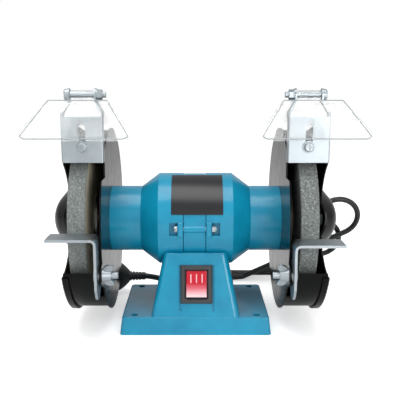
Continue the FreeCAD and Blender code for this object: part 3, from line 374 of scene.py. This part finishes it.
# %% Moulded parts
def moulded(name, colour, roughness, grain_mm, depth, ior=1.5, coat=0.0):
    """A moulded or printed surface with an even colour and a fine grain."""
    material, tree, surface, spot = new_material(name, colour)
    grain = node(tree, "ShaderNodeTexNoise", {"Vector": spot, "Scale": per_mm(grain_mm),
                                              "Detail": 2.0})
    skin = node(tree, "ShaderNodeBump", {"Height": (grain, "Fac"), "Strength": depth,
                                         "Distance": 0.1 * MM})
    surface.inputs["Base Color"].default_value = linear(colour)
    surface.inputs["Roughness"].default_value = roughness
    surface.inputs["IOR"].default_value = ior
    surface.inputs["Coat Weight"].default_value = coat
    tree.links.new(skin.outputs["Normal"], surface.inputs["Normal"])
    return material


nylon = moulded("moulded_nylon_black", "#2b2c2e", 0.38, 0.5, 0.25, 1.53)
pvc = moulded("soft_pvc_black", "#151617", 0.42, 0.7, 0.15, 1.52)
film = moulded("satin_label_film", "#17181b", 0.30, 1.5, 0.05, 1.49)
copper = moulded("enamelled_copper_wire", "#9a5a34", 0.35, 0.6, 0.6)
iron = moulded("stacked_core_steel", "#5c5d5e", 0.5, 0.5, 0.5)
paper = moulded("blotting_paper", "#b5ac93", 0.9, 0.8, 0.4)
cream = moulded("cream_thermoplastic", "#d8d0b8", 0.45, 1.0, 0.2)
brass = moulded("nickelled_brass", "#c9c2a8", 0.22, 1.0, 0.05)
brass.node_tree.nodes["Principled BSDF"].inputs["Metallic"].default_value = 1.0
put_on(nylon, "switch_body")
put_on(pvc, "cord_gland", "plug_body", "plug_sleeve", "cord", "cord_lead", "cord_coil")
put_on(film, "rating_label")
put_on(copper, "stator_windings")
put_on(iron, "stator_core", "rotor_core")
put_on(paper, "left_blotters", "right_blotters")
put_on(cream, "capacitor", "terminal_block")
put_on(brass, "plug_pins")

# %% [markdown]
# ## Rocker key
# The key is clear red polycarbonate over a neon lamp. Light goes into it and comes back redder,
# so it gets a little subsurface scatter under a hard clear gloss. It is painted paler toward its
# bottom edge, a painted reflection of the pale room on its lower half, and fine upright ribs in
# its upper half are paler too. Height picks the first, and the distance from the key's middle
# picks the ribs.

# %% Red key
red, tree, surface, spot = new_material("red_polycarbonate", "#c01c34")
# Millimetres: the heights that the key's colour runs between, the place of its middle, half the
# distance from one rib to the next, and how far a rib's colour reaches, at all and in full.
KEY_LOW = 34.0
KEY_HIGH = 59.0
KEY_MIDDLE_X = 0.9
RIB_HALF_SPACING = 2.6
RIB_EDGE = 0.6
RIB_CREST = 0.35
apart = node(tree, "ShaderNodeSeparateXYZ", {"Vector": spot})
height = node(tree, "ShaderNodeMapRange", {"Value": (apart, "Z"), "From Min": KEY_LOW * MM,
                                           "From Max": KEY_HIGH * MM})
# Painted reflection: the key's lower part is painted pale pink for the pale room mirrored in it.
red_and_painted_reflection = node(tree, "ShaderNodeValToRGB", {"Fac": (height, "Result")},
                stops=[(0.0, "#f3dfe2"), (0.12, "#efd0d5"), (0.38, "#d66a78"), (0.55, "#c4142c")])
across = node(tree, "ShaderNodeMath", {0: (apart, "X"), 1: KEY_MIDDLE_X * MM},
              operation="SUBTRACT")
ribs = node(tree, "ShaderNodeMath", {0: (across, "Value"), 1: RIB_HALF_SPACING * MM},
            operation="PINGPONG")
crest = node(tree, "ShaderNodeMapRange", {"Value": (ribs, "Value"), "From Min": RIB_EDGE * MM,
                                          "From Max": RIB_CREST * MM})
band = node(tree, "ShaderNodeValToRGB", {"Fac": (height, "Result")},
            stops=[(0.55, "#000000"), (0.60, "#ffffff"), (0.86, "#ffffff"), (0.90, "#000000")])
rib_share = node(tree, "ShaderNodeMath", {0: (crest, "Result"), 1: (band, "Color")},
                 operation="MULTIPLY")
key_colour = node(tree, "ShaderNodeMix", {0: (rib_share, "Value"), 6: (red_and_painted_reflection, "Color"),
                                          7: linear("#f0c4c9")}, data_type="RGBA")
tree.links.new(key_colour.outputs["Result"], surface.inputs["Base Color"])
surface.inputs["Subsurface Weight"].default_value = 0.25
surface.inputs["Subsurface Radius"].default_value = (0.002, 0.0004, 0.0004)
surface.inputs["Subsurface Scale"].default_value = 1.0
surface.inputs["Roughness"].default_value = 0.14
surface.inputs["IOR"].default_value = 1.58
put_on(red, "rocker")

# %% [markdown]
# ## The cord
# The cord leaves a gland low in the back wall, stands as a loose coil behind the right guard,
# and ends in a round plug behind the left guard. Each turn is an oval. The turns lie together at
# their left ends, where no tie is drawn, and fan out to the right, so each has its own tilt and
# length. The route's points are control points of a NURBS curve, which rounds them as a springy
# cord does.

# %% Where the cord lies
CORD_R = 3.0
LEAD_LENGTH = 1.45          # the lead's stated length, in metres
gland_route = [(5.0, 79.9, 9.0), (5.8, 93.0, 7.0), (11.5, 105.5, 4.2), (20.5, 114.8, 3.1),
               (31.0, 119.8, 3.05)]
plug_route = [(31.9, 130.0, 38.8), (22.6, 132.6, 30.2), (11.0, 134.4, 22.6), (-1.0, 132.2, 15.6),
              (-11.0, 124.8, 9.6), (-16.8, 113.2, 5.4), (-20.0, 100.0, 4.6), (-26.6, 86.6, 8.6),
              (-37.6, 77.6, 14.6), (-46.5, 73.8, 18.2), (-55.0, 73.0, 19.5)]
COIL_LEAN = math.radians(18.0)
COIL_FOOT_Y = 118.3
COIL_BEND = 22.0
FIRST_LAYER = 3.3
TURN_PITCH = 6.6
LEFT_END_X = 47.5
# Each turn's tilt in degrees and the length of its straight sides, from the guard outwards.
turns = [(28.4, 126.9), (18.0, 100.0), (8.5, 76.0), (0.0, 70.0)]


def coil_point(p, q, n):
    """A point of the leaning coil: p along X, q up the slope, n away from the guard."""
    s, c = math.sin(COIL_LEAN), math.cos(COIL_LEAN)
    return (p, COIL_FOOT_Y - q * s + n * c, q * c + n * s)


def left_centre(layer):
    """Centre of a turn's left end, which lets the turn's lowest run rest on the floor."""
    n = FIRST_LAYER + TURN_PITCH * layer
    low = (CORD_R + 0.3 - n * math.sin(COIL_LEAN)) / math.cos(COIL_LEAN)
    return LEFT_END_X, low + COIL_BEND, n


def on_arc(p, q, n, degrees, spread=1.0):
    """A control point outside an arc, so that the curve it pulls has the arc's radius."""
    a = math.radians(degrees)
    r = COIL_BEND * spread
    return coil_point(p + r * math.cos(a), q + r * math.sin(a), n)


def along_side(p, q, n, t, reach, way):
    """A point on a turn's straight side: way is -1 for the lower side, 1 for the upper."""
    return coil_point(p + reach * math.cos(t) - way * COIL_BEND * math.sin(t),
                      q + reach * math.sin(t) + way * COIL_BEND * math.cos(t), n)


def arc_steps(start, end, step=15.0):
    """Angles from start to end in even steps of about step degrees."""
    count = max(1, round((end - start) / step))
    return [start + (end - start) * k / count for k in range(count + 1)]


def coil_route():
    """Control points of all the turns, in order from the gland's side to the plug's side."""
    points = []
    pull = 1.0 / math.cos(math.radians(7.5)) ** 2
    p, q, n = left_centre(0)
    for a in arc_steps(-60.0, -90.0 + turns[0][0] - 8.0)[1:]:
        points.append(on_arc(p, q, n, a, pull))
    for k, (tilt, side) in enumerate(turns):
        p, q, n = left_centre(k)
        t = math.radians(tilt)
        far_p, far_q = p + side * math.cos(t), q + side * math.sin(t)
        points += [along_side(p, q, n, t, side * share, -1) for share in (0.0, 0.33, 0.67)]
        points += [on_arc(far_p, far_q, n, a, pull) for a in arc_steps(-90.0 + tilt, 90.0 + tilt)]
        points += [along_side(p, q, n, t, side * share, 1) for share in (0.67, 0.33)]
        last = k == len(turns) - 1
        _, next_q, next_n = left_centre(k if last else k + 1)
        stop = 128.0 if last else 270.0 + turns[k + 1][0] - 14.0
        angles = arc_steps(90.0 + tilt, stop)
        for a in angles:
            share = 0.0 if last else (a - angles[0]) / (angles[-1] - angles[0])
            points.append(on_arc(p, q + (next_q - q) * share, n + (next_n - n) * share, a, pull))
    return points


route = gland_route + coil_route() + plug_route
print("cord control points", len(route))


# %% [markdown]
# The curve's order is three, so it is a chain of parabolas that touches the middle of each leg
# of the route. Its order and its end setting come after the points, or Blender leaves it at two.

# %% The cord's curve
def nurbs(name, points_mm, radius_mm, material):
    """A round tube along a NURBS curve."""
    data = bpy.data.curves.new(name, "CURVE")
    data.dimensions = "3D"
    data.resolution_u = 6
    data.bevel_depth = radius_mm * MM
    data.bevel_resolution = 5
    data.use_fill_caps = True
    spline = data.splines.new("NURBS")
    spline.points.add(len(points_mm) - 1)
    for point, place in zip(spline.points, points_mm):
        point.co = (*[c * MM for c in place], 1.0)
    spline.order_u = 3
    spline.use_endpoint_u = True
    data.materials.append(material)
    made = bpy.data.objects.new(name, data)
    scene.collection.objects.link(made)
    return made


def line_length(points):
    return sum((Vector(b) - Vector(a)).length for a, b in zip(points, points[1:]))


def centreline(curve):
    """Points down the middle of a curve, read from the spline itself."""
    bare = bpy.data.objects.new("bare", curve.data.copy())
    bare.data.bevel_depth = 0.0
    mesh = bpy.data.meshes.new_from_object(bare)
    points = [v.co.copy() for v in mesh.vertices]
    bpy.data.objects.remove(bare)
    return points


mains_cord = nurbs("mains_cord", route, CORD_R, pvc)
print("cord drawn", round(line_length(centreline(mains_cord)), 3), "m of", LEAD_LENGTH)
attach(mains_cord, "stand")
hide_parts("cord", "cord_lead", "cord_coil")

# %% [markdown]
# ## Studio
# A plain pale floor runs back under a white world. The light is soft and comes mostly from
# above and in front, from large lamps, so that enamel shows long soft highlights. The floor and
# the world look white to the camera and through clear sheet, and light the grinder less brightly
# than they look.

# %% Floor and world
FLOOR_LIFT = 0.50           # added to the lit floor where it is seen, to bring it up to white
floor_mesh = bpy.data.meshes.new("floor")
floor_mesh.from_pydata([(-3, -3, 0), (3, -3, 0), (3, 3, 0), (-3, 3, 0)], [], [(0, 1, 2, 3)])
floor = bpy.data.objects.new("floor", floor_mesh)
scene.collection.objects.link(floor)
paper_sweep = bpy.data.materials.new("pale_studio_floor")
paper_sweep.use_nodes = True
tree = paper_sweep.node_tree
tree.nodes.clear()
rays = node(tree, "ShaderNodeLightPath")
seen = node(tree, "ShaderNodeMath", {0: (rays, "Is Camera Ray"), 1: (rays, "Is Transmission Ray")},
            operation="MAXIMUM")
glow = node(tree, "ShaderNodeMath", {0: (seen, "Value"), 1: FLOOR_LIFT}, operation="MULTIPLY")
matt = node(tree, "ShaderNodeBsdfDiffuse", {"Color": linear("#f2f2f2")})
lift = node(tree, "ShaderNodeEmission", {"Color": linear("#ffffff"), "Strength": (glow, "Value")})
total = node(tree, "ShaderNodeAddShader", {0: (matt, "BSDF"), 1: (lift, "Emission")})
node(tree, "ShaderNodeOutputMaterial", {"Surface": (total, "Shader")})
floor_mesh.materials.append(paper_sweep)

world = bpy.data.worlds.new("studio")
scene.world = world
world.use_nodes = True
tree = world.node_tree
tree.nodes.clear()
rays = node(tree, "ShaderNodeLightPath")
seen = node(tree, "ShaderNodeMath", {0: (rays, "Is Camera Ray"), 1: (rays, "Is Transmission Ray")},
            operation="MAXIMUM")
level = node(tree, "ShaderNodeMapRange", {"Value": (seen, "Value"), "To Min": 0.55, "To Max": 1.0})
sky = node(tree, "ShaderNodeBackground", {"Color": linear("#ffffff"),
                                          "Strength": (level, "Result")})
node(tree, "ShaderNodeOutputWorld", {"Surface": (sky, "Background")})


# %% Lamps
def softbox(name, place, target, width, height, watts):
    data = bpy.data.lights.new(name, "AREA")
    data.shape = "RECTANGLE"
    data.size = width
    data.size_y = height
    data.energy = watts
    lamp = bpy.data.objects.new(name, data)
    scene.collection.objects.link(lamp)
    lamp.location = place
    way = Vector(target) - Vector(place)
    lamp.rotation_euler = way.to_track_quat("-Z", "Y").to_euler()


softbox("overhead", (-0.15, -0.25, 1.3), (0.0, 0.0, 0.1), 1.2, 0.8, 10.0)
softbox("front", (-0.7, -1.3, 0.7), (0.0, 0.0, 0.1), 0.8, 0.8, 4.0)
softbox("right", (1.2, -0.5, 0.6), (0.0, 0.0, 0.1), 0.5, 0.9, 2.0)
softbox("front_right", (0.50, -1.2, 0.30), (0.0, 0.0, 0.1), 0.5, 0.5, 5.5)
